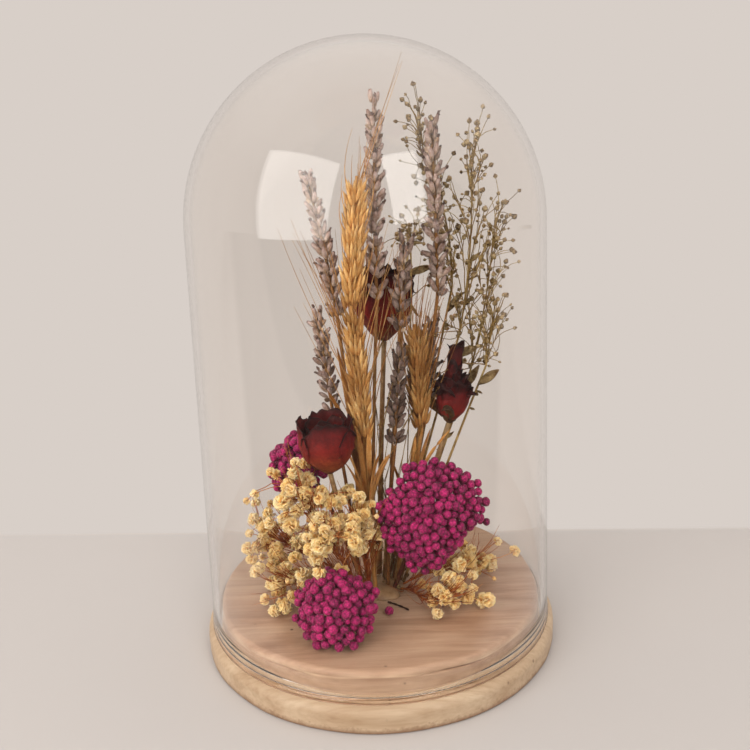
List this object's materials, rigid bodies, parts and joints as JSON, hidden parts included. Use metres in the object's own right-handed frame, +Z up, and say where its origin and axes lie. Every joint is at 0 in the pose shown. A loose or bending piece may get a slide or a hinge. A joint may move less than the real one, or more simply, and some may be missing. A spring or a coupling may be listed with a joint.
{
  "type": "bell jar dome",
  "caption": "Clear glass bell jar that stands on a raised round wooden base and covers a dried-flower arrangement.",
  "frame": {"origin": "centre of the base's underside, on the surface it stands on", "axes": "+Z up along the dome's axis, -Y towards the front, +X to the right seen from the front"},
  "size_m": [0.176, 0.176, 0.287],
  "materials": {
    "clear_glass": "polished clear",
    "pale_wood": "bare sanded",
    "whitewashed_wood": "thin whitewash, worn edge",
    "set_glue": "dull, translucent",
    "lavender": "dried, dusty",
    "wheat_straw": "dried, satin",
    "rose_petal": "dried, leathery",
    "magenta_bead": "dyed, matt",
    "cream_flower": "preserved, matt",
    "green_sprig": "dried, matt",
    "dark_twig": "dried, matt"
  },
  "bodies": {
    "base": {"base_disc": "pale_wood", "centre_plinth": "whitewashed_wood", "glue_mound": "set_glue", "lavender_1": "lavender", "lavender_2": "lavender", "lavender_3": "lavender", "lavender_4": "lavender", "lavender_5": "lavender", "lavender_6": "lavender", "lavender_7": "lavender", "wheat_ear_1": "wheat_straw", "wheat_ear_2": "wheat_straw", "wheat_ear_3": "wheat_straw", "rose_front": "rose_petal", "rose_rear": "rose_petal", "rose_right": "rose_petal", "rice_flower_left": "magenta_bead", "rice_flower_right": "magenta_bead", "rice_flower_front": "magenta_bead", "cream_spray_1": "cream_flower", "cream_spray_2": "cream_flower", "cream_spray_3": "cream_flower", "cream_spray_4": "cream_flower", "cream_spray_5": "cream_flower", "cream_spray_6": "cream_flower", "cream_spray_7": "cream_flower", "green_spray_1": "green_sprig", "green_spray_2": "green_sprig", "green_spray_3": "green_sprig", "green_spray_4": "green_sprig", "green_spray_5": "green_sprig", "fallen_bead": "magenta_bead", "fallen_twig": "dark_twig"},
    "dome": {"glass_dome": "clear_glass"}
  },
  "joints": [
    {"name": "dome_lift", "type": "slide", "parent": "base", "child": "dome", "axis": [0, 0, 1], "range_m": [0, 0.3]}
  ]
}
